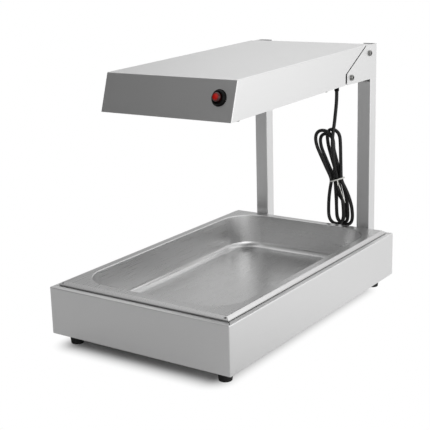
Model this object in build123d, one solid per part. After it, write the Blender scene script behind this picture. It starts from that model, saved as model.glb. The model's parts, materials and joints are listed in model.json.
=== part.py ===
from build123d import *
import os
from math import atan2, cos, radians, sin, tan

# Fry warmer: a stainless base with a lift-out food pan, two posts behind it and a heat hood over the pan.
# Millimetres. +Z is up, +Y is to the rear, +X is to the right as seen from the switch end.
# The origin is on the table, under the middle of the base and posts.

# Sheet metal and play
sheet = 1.2  # stainless sheet of the base, posts and hood
bend = 1.6  # outside radius of a folded edge
hole_play = 0.3  # radial play of a screw in its clearance hole
seat_play = 0.4  # play around a plate that lies inside a folded edge
thread_play = 0.05  # radial play of a screw in its nut

# Food pan, about the size of a gastronorm 1/1
pan_length = 526.0
pan_width = 330.0
pan_depth = 65.0
pan_sheet = 1.0
pan_mouth_inset = 19.0  # rim edge to the edge of the well, before its lip is rounded
pan_corner_radius = 57.0  # corners of the well at its mouth
pan_draft = 6.0  # slope of the well's walls, degrees
pan_lip_radius = 10.0
pan_floor_radius = 24.0
pan_skirt = 5.9  # turned-down edge of the rim
pan_edge_radius = 5.0  # where the rim turns down

# Base
pan_side_margin = 9.5  # base wall to the edge of the pan's rim
pan_front_margin = 17.0
pan_rear_margin = 11.0
base_height = 80.0
base_corner = 2.0
mitre_gap = 1.0  # slot left between two top flanges at a corner
mitre_weld = 0.15  # share of the mitre that is welded, at its outer end
pan_rise = 6.5  # top of the pan's rim above the base's top flange
upstand_gap = 5.0  # turned-down rim edge to the upstand inside it
opening_corner = 30.0
bottom_flange = 14.0
bottom_plate_sheet = 1.0
bottom_plate_inset = 3.0

# Feet
foot_height = 19.0
foot_top_radius = 12.8
foot_bottom_radius = 10.4
foot_inset = 28.0  # base wall to the foot's axis
foot_recess_radius = 6.0
foot_recess = 8.0  # depth of the recess that hides the screw's head

# Posts and their ears
post_width = 26.2
post_depth = 24.0
post_span = 249.0  # outside of one post to the outside of the other
post_clear = 6.0  # lower edge of the base to the post's lower end
serving_height = 284.3  # base's top flange to the ear's lower edge
ear_reach = 93.4  # post's front face to the ear's front edge
ear_front_height = 19.5
ear_height = 62.2
ear_top_reach = 16.7  # post's front face to where the sloped edge meets the top
ear_corner = 4.0  # rounded corners of the ear's front edge
ear_relief = 5.0  # the post's front wall ends this far below the ear
ear_screw_setback = 17.0  # ear's front edge to its lower screw
ear_screw_lift = 11.4  # ear's lower edge to its lower screw
ear_screw_lead = 5.5  # upper screw to the post's front face
ear_screw_drop = 15.0  # ear's top to its upper screw

# Hood
hood_length = 451.0
hood_height = 60.4
hood_setback = 21.5  # top edge of the front, behind its lower edge
hood_tilt = 1.5  # the front hangs lower than the rear, degrees
hood_rear_gap = 10.5  # hood's rear edge to the posts' front faces
hood_rise = 2.9  # hood's lower edge above the ear's, at the hood's rear
hood_hem = 12.0  # inward lower edge
ear_front_gap = 5.5  # slot between the hood's side and the ear's front edge
ear_slope_gap = 2.4  # slot between the hood's side and the ear's sloped edge
cap_inset = 4.0  # rear cap's side, inside the ear's edges
cap_overlap = 62.0  # rear cap under the hood's top

# Heat tubes and reflector
lamp_bay_front = 50.0  # hood's front edge to the front end plate
lamp_bay_length = 300.0
reflector_sheet = 1.0
reflector_height = 33.0
reflector_top_width = 170.0
reflector_flange = 13.4  # flat edge that lies on the hood's hem
tube_spacing = 90.0
tube_radius = 6.0
tube_wall = 1.2
tube_height = 20.0  # tube's axis above the hood's lower edge
socket_depth = 10.0
ceramic_radius = 9.5
ceramic_length = 14.0
ceramic_neck_radius = 7.0
ceramic_neck = 10.0
lamp_stud_radius = 1.5
lamp_stud_reach = 6.0  # stud beyond the ceramic, and inside the coil
coil_radius = 3.2
guard_height = 7.0  # guard's long wires above the hood's lower edge
guard_inset = 12.0  # mouth of the reflector to the guard's outer wires
guard_wire_radius = 1.5
guard_cross_radius = 1.0
guard_pitch = 25.0

# Switch
switch_inset = 28.0  # hood's side to the switch's axis
switch_height = 33.7  # hood's lower edge to the switch's axis
bezel_radius = 13.0
bezel_thickness = 2.0
collar_height = 5.2
collar_foot_radius = 11.6
collar_top_radius = 10.0
button_radius = 7.2
button_height = 8.0  # lens above the panel
button_dome = 1.2
button_travel = 2.5
button_play = 0.3
button_flange = 1.2  # step that keeps the button in its housing
button_flange_depth = 4.0  # below the panel
barrel_radius = 9.9
barrel_length = 20.0
switch_nut_radius = 13.5
switch_nut_thickness = 4.0
blade_width = 4.8
blade_thickness = 0.8
blade_length = 6.5
blade_spacing = 9.0

# Wiring
lead_radius = 1.3
core_radius = 1.0
lead_bend = 6.0
block_length = 50.0
block_width = 20.0
block_height = 17.6
wiring_room = 20.0  # ends of the lamp studs to the terminal block
earth_offset = 60.0  # earth stud, to the left of the middle
pole_offset = 16.0  # wires of the terminal block, either side of its middle
link_width = 8.0
link_thickness = 1.0

# Screws
m5_radius = 2.5
m5_head_radius = 5.2
m5_head = 4.0
m5_nut_flats = 8.0
m5_nut = 4.0
m4_radius = 2.0
m4_head_radius = 3.6
m4_head = 2.2
m4_nut_flats = 7.0
m4_nut = 3.2
recess_width = 1.4
recess_depth = 1.6
rivet_nut_radius = 3.5
rivet_nut_length = 12.0
rivet_bulge_radius = 5.0
rivet_bulge = 3.0
post_screw_low = 20.0  # above the base's lower edge
post_screw_high = 58.0

# Mains lead
cord_radius = 3.5
gland_x = 59.0
gland_setback = 3.0  # gland's axis behind the hood's rear edge
gland_flange_radius = 9.0
gland_flange = 3.0
gland_thread_radius = 7.0
gland_thread = 11.0
gland_sleeve = 28.0  # below the hood's lower edge
gland_sleeve_top = 7.0
gland_sleeve_tip = 4.6
gland_nut_flats = 17.0
gland_nut_height = 5.0
cord_end_proud = 2.0  # sheath above the gland's thread
hank_lean = 0.073  # the hank hangs back by this much for each millimetre down
plug_radius = 19.0
plug_sleeve = 25.0
plug_sleeve_tip = 4.6
plug_neck_radius = 7.0
plug_body_length = 36.0
plug_round = 5.0
pin_radius = 2.4
pin_length = 19.0
pin_spacing = 19.0
tie_thickness = 1.3
tie_width = 2.6
tie_slant = 19.6  # degrees

# Places that follow from the sizes
base_width = pan_width + 2 * pan_side_margin
base_length = pan_front_margin + pan_length + pan_rear_margin
base_y = -post_depth / 2
base_front_y = base_y - base_length / 2
base_rear_y = base_y + base_length / 2
pan_y = base_front_y + pan_front_margin + pan_length / 2
base_z = foot_height + bottom_plate_sheet
flange_z = base_z + base_height
rim_z = flange_z + pan_rise
opening_inset = pan_sheet + upstand_gap + sheet
opening_width = pan_width - 2 * opening_inset
opening_length = pan_length - 2 * opening_inset

post_front_y = base_rear_y
post_rear_y = base_rear_y + post_depth
post_x = (post_span - post_width) / 2
post_z = base_z + post_clear
ear_inside = post_span / 2 - sheet
ear_z = flange_z + serving_height
ear_top_z = ear_z + ear_height
ear_front_y = post_front_y - ear_reach
ear_slope_y = post_front_y - ear_top_reach
ear_slope = atan2(ear_height - ear_front_height, ear_slope_y - ear_front_y)
ear_screw_places = [
    (ear_front_y + ear_screw_setback, ear_z + ear_screw_lift),
    (post_front_y - ear_screw_lead, ear_top_z - ear_screw_drop),
]
post_screw_heights = [base_z + post_screw_low, base_z + post_screw_high]
foot_places = {
    "front_left": (foot_inset - base_width / 2, base_front_y + foot_inset),
    "front_right": (base_width / 2 - foot_inset, base_front_y + foot_inset),
    "rear_left": (foot_inset - base_width / 2, base_rear_y - foot_inset),
    "rear_right": (base_width / 2 - foot_inset, base_rear_y - foot_inset),
}

# The hood's own frame: y 0 at the rear edge of its top, z 0 at its lower edge
hood_half = post_span / 2
hood_y = post_front_y - hood_rear_gap
hood_z = ear_z + hood_rise
hood_place = Pos(0, hood_y, hood_z) * Rot(hood_tilt, 0, 0)
hood_inside = hood_half - sheet
cap_inside = hood_inside - sheet
front_plate_y = lamp_bay_front - hood_length
rear_plate_y = front_plate_y + lamp_bay_length
shelf_z = sheet
shelf_top = 2 * sheet
panel_slope = atan2(hood_setback, hood_height)
switch_x = hood_half - switch_inset
switch_y = switch_height * tan(panel_slope) - hood_length
switch_plane = Plane(
    origin=(switch_x, switch_y, switch_height),
    x_dir=(1, 0, 0),
    z_dir=(0, -cos(panel_slope), sin(panel_slope)),
)
reflector_mouth_width = 2 * (hood_inside - seat_play - reflector_flange)
tube_places = {"left": -tube_spacing / 2, "right": tube_spacing / 2}
stud_end = ceramic_neck + sheet + lamp_stud_reach  # end plate to the stud's outer end
block_y = rear_plate_y + stud_end + wiring_room + block_width / 2
gland_y = gland_setback


def in_hood(y, z):
    """A point beside the ear, seen in the hood's own frame."""
    lean = radians(hood_tilt)
    ahead = y - hood_y
    above = z - hood_z
    return (ahead * cos(lean) + above * sin(lean), above * cos(lean) - ahead * sin(lean))


def out_of_hood(x, y, z):
    """A point of the hood's own frame, in the frame of the whole."""
    lean = radians(hood_tilt)
    return (x, hood_y + y * cos(lean) - z * sin(lean), hood_z + y * sin(lean) + z * cos(lean))


cap_web_y = in_hood(*ear_screw_places[1])[0] + m5_nut_flats


def block(low, high):
    """A box from one corner to the other."""
    size = [b - a for a, b in zip(low, high)]
    middle = [(a + b) / 2 for a, b in zip(low, high)]
    return Pos(*middle) * Box(*size)


def rod(start, end, radius):
    """A round bar between two points."""
    axis = Vector(*end) - Vector(*start)
    return Plane(origin=start, z_dir=axis) * Cylinder(
        radius, axis.length, align=(Align.CENTER, Align.CENTER, Align.MIN)
    )


def side_plate(points, low_x, high_x):
    """A plate across X, with its outline given as (y, z) points."""
    outline = Plane.YZ.offset(low_x) * make_face(Polyline(*points, close=True))
    return extrude(outline, high_x - low_x, dir=(1, 0, 0))


def cross_plate(points, low_y, high_y):
    """A plate across Y, with its outline given as (x, z) points."""
    outline = Plane.XZ.offset(-low_y) * make_face(Polyline(*points, close=True))
    return extrude(outline, high_y - low_y, dir=(0, 1, 0))


def upright(width, length, corner, low_z, high_z, middle_y=base_y):
    """A rounded rectangular block on the base's middle, or on the pan's."""
    return Pos(0, middle_y, low_z) * extrude(RectangleRounded(width, length, corner), high_z - low_z)


def edges_at(solid, z):
    """The edges of a solid that lie level at a height."""
    return [
        edge
        for edge in solid.edges()
        if abs(edge.bounding_box().min.Z - z) < 1e-4 and abs(edge.bounding_box().max.Z - z) < 1e-4
    ]


def mirrored(solid):
    """The left-hand twin of a right-hand piece."""
    return mirror(solid, about=Plane.YZ)


def pan_head_screw(shank, shank_radius, head_radius, head_height, recess=True):
    """A pan-head screw along +Z: its head stands below z 0 and its shank above."""
    head = Pos(0, 0, -head_height / 2) * Cylinder(head_radius, head_height)
    head = fillet(edges_at(head, -head_height), head_height * 0.45)
    screw = head + rod((0, 0, 0), (0, 0, shank), shank_radius)
    if recess:
        arm = block((-head_radius * 0.55, -recess_width / 2, -head_height - 1),
                    (head_radius * 0.55, recess_width / 2, recess_depth - head_height))
        screw -= arm + Rot(0, 0, 90) * arm
    return screw


def hex_nut(flats, height, bore):
    """A hexagon nut standing on z 0."""
    outline = RegularPolygon(flats / 2, 6, major_radius=False) - Circle(bore)
    return extrude(outline, height)


def facing(place, direction):
    """A location at a place, with its own +Z along a direction."""
    return Plane(origin=place, z_dir=direction).location


def lead(points, radius):
    """An insulated wire through points, bent round its corners."""
    path = FilletPolyline(*points, radius=lead_bend)
    return sweep(Plane(origin=path @ 0, z_dir=path % 0) * Circle(radius), path=path)


def joined(solids):
    """Separate solids kept together in one node."""
    return Compound(children=[solid for solid in solids])


# Food pan

def pan_well(grow):
    """The well's shape, larger by the sheet where it is the outside."""
    side = grow / cos(radians(pan_draft))
    width = pan_width - 2 * pan_mouth_inset + 2 * side
    length = pan_length - 2 * pan_mouth_inset + 2 * side
    depth = pan_depth - pan_sheet + grow
    mouth = Pos(0, pan_y, rim_z) * RectangleRounded(width, length, pan_corner_radius + side)
    well = extrude(mouth, depth, dir=(0, 0, -1), taper=pan_draft)
    return fillet(edges_at(well, rim_z - depth), pan_floor_radius + grow)


def pan_rim_form(inset):
    """The rim as a block whose rounded upper edges meet at mitred corners, drawn in by an inset."""
    across = pan_width / 2 - inset
    along = pan_length / 2 - inset
    form = block((-across, pan_y - along, rim_z - pan_skirt), (across, pan_y + along, rim_z - inset))
    sides = form.edges().filter_by(Axis.Y).group_by(Axis.Z)[-1]
    ends = form.edges().filter_by(Axis.X).group_by(Axis.Z)[-1]
    return fillet(sides, pan_edge_radius - inset) & fillet(ends, pan_edge_radius - inset)


def food_pan():
    pan = pan_rim_form(0) - pan_rim_form(pan_sheet) + pan_well(pan_sheet)
    under_lip = [e for e in edges_at(pan, rim_z - pan_sheet)
                 if e.bounding_box().max.X < pan_width / 2 - pan_mouth_inset / 2
                 and e.bounding_box().min.X > pan_mouth_inset / 2 - pan_width / 2
                 and abs(e.center().Y - pan_y) < pan_length / 2 - pan_mouth_inset / 2]
    pan = fillet(under_lip, pan_lip_radius - pan_sheet)
    pan -= pan_well(0)
    mouth = [e for e in edges_at(pan, rim_z)
             if abs(e.center().X) < pan_width / 2 - pan_mouth_inset / 2
             and abs(e.center().Y - pan_y) < pan_length / 2 - pan_mouth_inset / 2]
    return fillet(mouth, pan_lip_radius)


# Base

def base_corners():
    """Each corner of the base, paired with the corner of the opening beside it."""
    across = base_width / 2
    side = opening_width / 2
    front = pan_y - opening_length / 2
    rear = pan_y + opening_length / 2
    return [
        ((-across, base_front_y), (-side, front)),
        ((across, base_front_y), (side, front)),
        ((across, base_rear_y), (side, rear)),
        ((-across, base_rear_y), (-side, rear)),
    ]


def on_mitre(corner, share):
    """A point on a corner's mitre: share 0 is the base's corner and 1 the opening's."""
    outer, inner = base_corners()[corner]
    return tuple(a + (b - a) * share for a, b in zip(outer, inner))


def prism(points, low_z, high_z):
    """An upright block with its outline given as (x, y) points."""
    outline = Pos(0, 0, low_z) * make_face(Polyline(*points, close=True))
    return extrude(outline, high_z - low_z, dir=(0, 0, 1))


def mitre_slot(corner):
    """The gap between two top flanges, along their mitre."""
    start = on_mitre(corner, mitre_weld)
    end = on_mitre(corner, 1)
    length = ((end[0] - start[0]) ** 2 + (end[1] - start[1]) ** 2) ** 0.5
    across = ((start[1] - end[1]) / length * mitre_gap / 2, (end[0] - start[0]) / length * mitre_gap / 2)
    points = [(x + way * across[0], y + way * across[1])
              for way, (x, y) in ((1, start), (1, end), (-1, end), (-1, start))]
    return prism(points, flange_z - 2 * sheet, flange_z + sheet)


def base_walls():
    outside = upright(base_width, base_length, base_corner, base_z, flange_z)
    outside = fillet(edges_at(outside, flange_z) + edges_at(outside, base_z), bend)
    inside = upright(base_width - 2 * sheet, base_length - 2 * sheet, base_corner - sheet,
                     base_z + sheet, flange_z - sheet)
    inside = fillet(edges_at(inside, flange_z - sheet) + edges_at(inside, base_z + sheet), bend - sheet)
    shell = outside - inside
    upstand_z = rim_z - pan_sheet
    shell += upright(opening_width + 2 * sheet, opening_length + 2 * sheet, opening_corner + sheet,
                     flange_z - sheet, upstand_z, pan_y)
    shell -= upright(opening_width, opening_length, opening_corner, flange_z - sheet, upstand_z, pan_y)
    shell -= upright(base_width - 2 * bottom_flange, base_length - 2 * bottom_flange, base_corner,
                     base_z, base_z + sheet)
    for x in (-post_x, post_x):
        for z in post_screw_heights:
            shell -= rod((x, base_rear_y - 2 * sheet, z), (x, base_rear_y + sheet, z), m5_radius + hole_play)
    for x, y in plate_screw_places():
        shell -= rod((x, y, base_z), (x, y, base_z + sheet), m4_radius + thread_play)
    for corner in range(4):
        shell -= mitre_slot(corner)
    return shell


def base_panel(first, second):
    """One folded wall of the base with its flanges, welded to the next ones along the mitres at its corners."""
    wedge = [on_mitre(first, -0.5), on_mitre(second, -0.5), on_mitre(second, 5), on_mitre(first, 5)]
    return base_walls() & prism(wedge, base_z, rim_z)


def plate_screw_places():
    """Screws along the middle of the base's bottom flange."""
    side = base_width / 2 - bottom_flange / 2 - sheet
    end = base_length / 2 - bottom_flange / 2 - sheet
    third = base_length / 6
    places = [(x, base_y + y) for x in (-side, side) for y in (-third, third)]
    return places + [(x, base_y + y) for x in (-base_width / 6, base_width / 6) for y in (-end, end)]


def bottom_plate():
    plate = upright(base_width - 2 * bottom_plate_inset, base_length - 2 * bottom_plate_inset,
                    base_corner, foot_height, base_z)
    for x, y in foot_places.values():
        plate -= rod((x, y, foot_height), (x, y, base_z), m5_radius + hole_play)
    for x, y in plate_screw_places():
        plate -= rod((x, y, foot_height), (x, y, base_z), m4_radius + hole_play)
    return plate


def bottom_plate_screws():
    shank = bottom_plate_sheet + 3 * sheet
    screw = pan_head_screw(shank, m4_radius, m4_head_radius, m4_head)
    return joined([Pos(x, y, foot_height) * screw for x, y in plate_screw_places()])


def foot(x, y):
    body = Cone(foot_bottom_radius, foot_top_radius, foot_height,
                align=(Align.CENTER, Align.CENTER, Align.MIN))
    body = fillet(edges_at(body, 0), 1.0)
    body -= rod((0, 0, 0), (0, 0, foot_recess), foot_recess_radius)
    body -= rod((0, 0, 0), (0, 0, foot_height), m5_radius + hole_play)
    return Pos(x, y, 0) * body


def foot_screws():
    shank = base_z + 1.5 * m5_nut - foot_recess
    screw = pan_head_screw(shank, m5_radius, m5_head_radius, m5_head)
    return joined([Pos(x, y, foot_recess) * screw for x, y in foot_places.values()])


def foot_nuts():
    nut = hex_nut(m5_nut_flats, m5_nut, m5_radius + thread_play)
    return joined([Pos(x, y, base_z) * nut for x, y in foot_places.values()])


# Posts

def right_post():
    middle_y = (post_front_y + post_rear_y) / 2
    outside = RectangleRounded(post_width, post_depth, bend)
    inside = RectangleRounded(post_width - 2 * sheet, post_depth - 2 * sheet, bend - sheet)
    post = Pos(post_x, middle_y, post_z) * extrude(outside - inside, ear_top_z - post_z)
    inner_x = post_x - post_width / 2
    open_z = ear_z - ear_relief
    post -= block((inner_x - 1, post_front_y - 1, open_z),
                  (ear_inside, post_rear_y - bend, ear_top_z + 1))
    post -= block((inner_x - 1, post_front_y - 1, open_z),
                  (inner_x + bend, post_rear_y - sheet, ear_top_z + 1))
    ear = [(ear_front_y, ear_z), (ear_front_y, ear_z + ear_front_height), (ear_slope_y, ear_top_z),
           (post_rear_y - bend, ear_top_z), (post_rear_y - bend, ear_z)]
    plate = side_plate(ear, ear_inside, ear_inside + sheet)
    front = plate.edges().filter_by(Axis.X).group_by(Axis.Y)[0]
    post += fillet(front, ear_corner)
    for y, z in ear_screw_places:
        post -= rod((ear_inside - 1, y, z), (ear_inside + 2 * sheet, y, z), m5_radius + hole_play)
    for z in post_screw_heights:
        post -= rod((post_x, post_front_y - 1, z), (post_x, post_front_y + 2 * sheet, z),
                    rivet_nut_radius + thread_play)
    return post


def post_rivet_nuts():
    nuts = []
    for x in (-post_x, post_x):
        for z in post_screw_heights:
            nut = rod((x, post_front_y, z), (x, post_front_y + rivet_nut_length, z), rivet_nut_radius)
            back = post_front_y + sheet
            nut += rod((x, back, z), (x, back + rivet_bulge, z), rivet_bulge_radius)
            nut -= rod((x, post_front_y - 1, z), (x, post_rear_y, z), m5_radius + thread_play)
            nuts.append(nut)
    return joined(nuts)


def post_screws():
    screw = pan_head_screw(sheet + rivet_nut_length, m5_radius, m5_head_radius, m5_head)
    wall_y = base_rear_y - sheet
    return joined([facing((x, wall_y, z), (0, 1, 0)) * screw
                   for x in (-post_x, post_x) for z in post_screw_heights])


# Hood, in its own frame

def hood_form(inset):
    """The hood as a closed block, drawn in from its outside by an inset."""
    outline = [(-hood_length, 0), (hood_setback - hood_length, hood_height), (0, hood_height), (0, 0)]
    face = make_face(Polyline(*outline, close=True))
    if inset:
        face = offset(face, -inset, kind=Kind.INTERSECTION)
    form = extrude(Plane.YZ.offset(inset - hood_half) * face, 2 * (hood_half - inset), dir=(1, 0, 0))
    folded = [e for e in form.edges()
              if e.center().Z > bend + inset and e.center().Y < -bend - inset]
    return fillet(folded, bend - inset)


def ear_slot():
    """What is cut from the hood's sides to clear the ears, with the slot around them."""
    slope = ear_slope
    step_y = -ear_slope_gap * sin(slope)
    step_z = ear_slope_gap * cos(slope)
    front = ear_front_y - ear_front_gap
    knee = ear_z + ear_front_height + step_z - (ear_front_gap + step_y) * tan(slope)
    far = hood_height
    corners = [
        (front, ear_z - far),
        (front, knee),
        (ear_slope_y + step_y + far, ear_top_z + step_z + far * tan(slope)),
        (post_rear_y + far, ear_top_z),
        (post_rear_y + far, ear_z - far),
    ]
    return [in_hood(y, z) for y, z in corners]


def hood_shell():
    shell = hood_form(0) - hood_form(sheet)
    far = hood_height
    shell -= block((hood_hem - hood_half, hood_hem - hood_length, -far), (hood_half - hood_hem, far, sheet))
    shell -= block((-hood_inside, -far / 2, sheet), (hood_inside, far, hood_height - sheet))
    slot = side_plate(ear_slot(), hood_inside, hood_half + sheet)
    slot_front = in_hood(ear_front_y - ear_front_gap, ear_z)[0]
    hem_cut = block((hood_half - 2 * hood_hem, slot_front, -far), (hood_half + sheet, far, sheet))
    for cut in (slot, hem_cut):
        shell -= cut
        shell -= mirrored(cut)
    opening = Cylinder(barrel_radius + hole_play, 4 * sheet)
    shell -= switch_plane * opening
    for x, y in underside_screw_places():
        shell -= rod((x, y, 0), (x, y, sheet), m4_radius + hole_play)
    return hood_place * shell


def rear_cap_side():
    """Outline of the rear cap's side: the ear's outline, drawn in from its edges."""
    far = hood_height
    ear = [(ear_front_y, ear_z - far), (ear_front_y, ear_z + ear_front_height), (ear_slope_y, ear_top_z),
           (post_rear_y + far, ear_top_z + (post_rear_y + far - ear_slope_y) * tan(ear_slope)),
           (post_rear_y + far, ear_z - far)]
    face = make_face(Polyline(*[in_hood(y, z) for y, z in ear], close=True))
    face = offset(face, -cap_inset, kind=Kind.INTERSECTION)
    top = hood_height - sheet
    rear = cap_web_y + sheet
    return face & Pos(rear - 2 * far, top / 2) * Rectangle(4 * far, top)


def hood_rear_cap():
    top = hood_height - sheet
    side = extrude(Plane.YZ.offset(cap_inside) * rear_cap_side(), sheet, dir=(1, 0, 0))
    side_front = in_hood(ear_front_y, ear_z)[0] + cap_inset
    hem = block((hood_inside - hood_hem, side_front, 0), (hood_inside, cap_web_y, sheet))
    cap = block((-hood_inside, cap_web_y, 0), (hood_inside, cap_web_y + sheet, top))
    cap += block((bend - hood_inside, -cap_overlap, top - sheet), (hood_inside - bend, cap_web_y, top))
    for piece in (side, hem):
        cap += piece
        cap += mirrored(piece)
    for y, z in ear_screw_places:
        local_y, local_z = in_hood(y, z)
        cap -= rod((-hood_half, local_y, local_z), (hood_half, local_y, local_z), m5_radius + hole_play)
    for x, y in underside_screw_places():
        cap -= rod((x, y, 0), (x, y, sheet), m4_radius + hole_play)
    return hood_place * cap


def ear_screws():
    screw = pan_head_screw(2 * sheet + 1.5 * m5_nut, m5_radius, m5_head_radius, m5_head)
    return joined([facing((side * hood_half, y, z), (-side, 0, 0)) * screw
                   for side in (-1, 1) for y, z in ear_screw_places])


def ear_nuts():
    nut = hex_nut(m5_nut_flats, m5_nut, m5_radius + thread_play)
    return joined([facing((side * cap_inside, y, z), (-side, 0, 0)) * nut
                   for side in (-1, 1) for y, z in ear_screw_places])


def trough(grow):
    """Cross-section of the reflector's trough, larger by its sheet on the outside."""
    lean = (reflector_mouth_width - reflector_top_width) / 2 / reflector_height
    side = grow * (1 + lean * lean) ** 0.5
    mouth = reflector_mouth_width / 2 + side
    crown = reflector_top_width / 2 + side - grow * lean
    top = shelf_z + reflector_height + grow
    return [(-mouth, shelf_z), (-crown, top), (crown, top), (mouth, shelf_z)]


def guard_hooks():
    """The guard's cross wires that reach through the reflector's sides."""
    middle = (front_plate_y + rear_plate_y) / 2
    end = lamp_bay_length / 2 - guard_pitch
    return [middle - end, middle, middle + end]


def reflector():
    outside = cross_plate(trough(reflector_sheet), front_plate_y, rear_plate_y)
    reach = hood_inside - seat_play
    outside += block((-reach, front_plate_y, shelf_z), (reach, rear_plate_y, shelf_z + reflector_sheet))
    sheet_form = outside - cross_plate(trough(0), front_plate_y, rear_plate_y)
    for y in guard_hooks():
        sheet_form -= rod((-hood_half, y, guard_cross_z()), (hood_half, y, guard_cross_z()),
                          guard_cross_radius + hole_play)
    for x, y in underside_screw_places():
        sheet_form -= rod((x, y, shelf_z), (x, y, shelf_top), m4_radius + thread_play)
    return hood_place * sheet_form


def end_plate(low_y, shelf_front, shelf_rear, reach):
    """A plate that closes an end of the trough, folded out into a shelf."""
    plate = cross_plate(trough(reflector_sheet), low_y, low_y + sheet)
    plate += block((-reach, shelf_front, shelf_z), (reach, shelf_rear, shelf_top))
    for x in tube_places.values():
        plate -= rod((x, low_y - sheet, tube_height), (x, low_y + 2 * sheet, tube_height),
                     ceramic_neck_radius + hole_play)
    for x, y in underside_screw_places():
        plate -= rod((x, y, shelf_z), (x, y, shelf_top), m4_radius + thread_play)
    return plate


def front_end_plate():
    low_y = front_plate_y - sheet
    panel_inside = shelf_top * tan(panel_slope) + sheet / cos(panel_slope) - hood_length
    front = panel_inside + seat_play
    return hood_place * end_plate(low_y, front, low_y + sheet, hood_inside - seat_play)


def rear_end_plate():
    plate = end_plate(rear_plate_y, rear_plate_y, cap_web_y - seat_play, cap_inside - seat_play)
    plate -= rod((gland_x, gland_y, 0), (gland_x, gland_y, shelf_top), gland_thread_radius + hole_play)
    plate -= rod((-earth_offset, block_y, 0), (-earth_offset, block_y, shelf_top), m4_radius + hole_play)
    for x in block_screw_places():
        plate -= rod((x, block_y, 0), (x, block_y, shelf_top), m4_radius + thread_play)
    return hood_place * plate


def underside_screw_places():
    """Screws up through the hems into the reflector and its end plates."""
    side = hood_half - hood_hem / 2
    bay_third = lamp_bay_length / 3
    lengths = [front_plate_y - lamp_bay_front / 2, front_plate_y + bay_third / 2,
               rear_plate_y - bay_third / 2, cap_web_y - 2 * hood_hem]
    return [(x, y) for x in (-side, side) for y in lengths]


def underside_screws():
    screw = pan_head_screw(shelf_top + sheet, m4_radius, m4_head_radius, m4_head)
    return hood_place * joined([Pos(x, y, 0) * screw for x, y in underside_screw_places()])


def guard_cross_z():
    return guard_height + guard_wire_radius + guard_cross_radius


def wire_guard():
    """Cross wires welded on top of long wires, some of them hooked through the reflector's sides."""
    ends = guard_hooks()
    z = guard_cross_z()
    half = reflector_mouth_width / 2 - guard_inset
    overhang = guard_pitch / 2
    wires = [rod((x, ends[0] - overhang, guard_height), (x, ends[-1] + overhang, guard_height),
                 guard_wire_radius) for x in (-half, 0, half)]
    count = round((ends[-1] - ends[0]) / guard_pitch / 2) * 2
    for i in range(count + 1):
        y = ends[0] + i * (ends[-1] - ends[0]) / count
        hooked = i in (0, count / 2, count)
        reach = reflector_mouth_width / 2 if hooked else half + guard_wire_radius
        wires.append(rod((-reach, y, z), (reach, y, z), guard_cross_radius))
    return hood_place * joined(wires)


# Heat tubes, in the hood's frame

def tube_ends():
    """Each end plate's inner face and the direction from it into the lamp bay."""
    return [(front_plate_y, 1), (rear_plate_y, -1)]


def ceramic_end_caps():
    caps = []
    for x in tube_places.values():
        for y, inward in tube_ends():
            def point(distance):
                return (x, y + inward * distance, tube_height)
            neck_end = -sheet - ceramic_neck
            cap = rod(point(0), point(ceramic_length), ceramic_radius)
            cap += rod(point(neck_end), point(0), ceramic_neck_radius)
            cap -= rod(point(ceramic_length - socket_depth), point(ceramic_length), tube_radius + hole_play)
            cap -= rod(point(neck_end), point(ceramic_length), lamp_stud_radius + thread_play)
            caps.append(cap)
    return hood_place * joined(caps)


def quartz_tube(x):
    seat = ceramic_length - socket_depth
    start = (x, front_plate_y + seat, tube_height)
    end = (x, rear_plate_y - seat, tube_height)
    return hood_place * (rod(start, end, tube_radius) - rod(start, end, tube_radius - tube_wall))


def heating_coil(x):
    seat = ceramic_length - socket_depth
    start = (x, front_plate_y + seat, tube_height)
    end = (x, rear_plate_y - seat, tube_height)
    return hood_place * (rod(start, end, coil_radius) - rod(start, end, lamp_stud_radius + thread_play))


def lamp_studs():
    inside = ceramic_length - socket_depth + lamp_stud_reach
    studs = [rod((x, y - inward * stud_end, tube_height), (x, y + inward * inside, tube_height),
                 lamp_stud_radius)
             for x in tube_places.values() for y, inward in tube_ends()]
    return hood_place * joined(studs)


# Switch, in the frame of the hood's sloped front

def switch_body():
    body = Cylinder(barrel_radius, barrel_length, align=(Align.CENTER, Align.CENTER, Align.MAX))
    body += fillet(edges_at(rod((0, 0, 0), (0, 0, bezel_thickness), bezel_radius), bezel_thickness), 0.8)
    body += Pos(0, 0, bezel_thickness) * Cone(
        collar_foot_radius, collar_top_radius, collar_height - bezel_thickness,
        align=(Align.CENTER, Align.CENTER, Align.MIN))
    bore = button_radius + button_play
    floor = -button_flange_depth - 2 * button_flange - button_travel - button_play
    body -= rod((0, 0, floor), (0, 0, collar_height), bore)
    body -= rod((0, 0, floor), (0, 0, -button_flange_depth), bore + button_flange)
    return hood_place * switch_plane.location * body


def switch_button():
    button = rod((0, 0, -button_flange_depth), (0, 0, button_height), button_radius)
    button = fillet(edges_at(button, button_height), button_dome)
    flange_low = -button_flange_depth - 2 * button_flange
    button += rod((0, 0, flange_low), (0, 0, -button_flange_depth), button_radius + button_flange)
    return hood_place * switch_plane.location * button


def switch_nut():
    ring = rod((0, 0, -sheet - switch_nut_thickness), (0, 0, -sheet), switch_nut_radius)
    ring -= rod((0, 0, -barrel_length), (0, 0, 0), barrel_radius + thread_play)
    return hood_place * switch_plane.location * ring


def switch_terminals():
    blade = Box(blade_thickness, blade_width, blade_length, align=(Align.CENTER, Align.CENTER, Align.MAX))
    return hood_place * switch_plane.location * joined(
        [Pos(side * blade_spacing / 2, 0, -barrel_length) * blade for side in (-1, 1)])


# Wiring, in the hood's frame

def blade_end(side, beyond):
    """A point on the switch's rear axis, past the end of a blade."""
    spot = switch_plane.location * Pos(side * blade_spacing / 2, 0, -barrel_length - blade_length - beyond)
    return tuple(spot.position)


def block_screw_places():
    return (-pole_offset / 2, pole_offset / 2)


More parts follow.
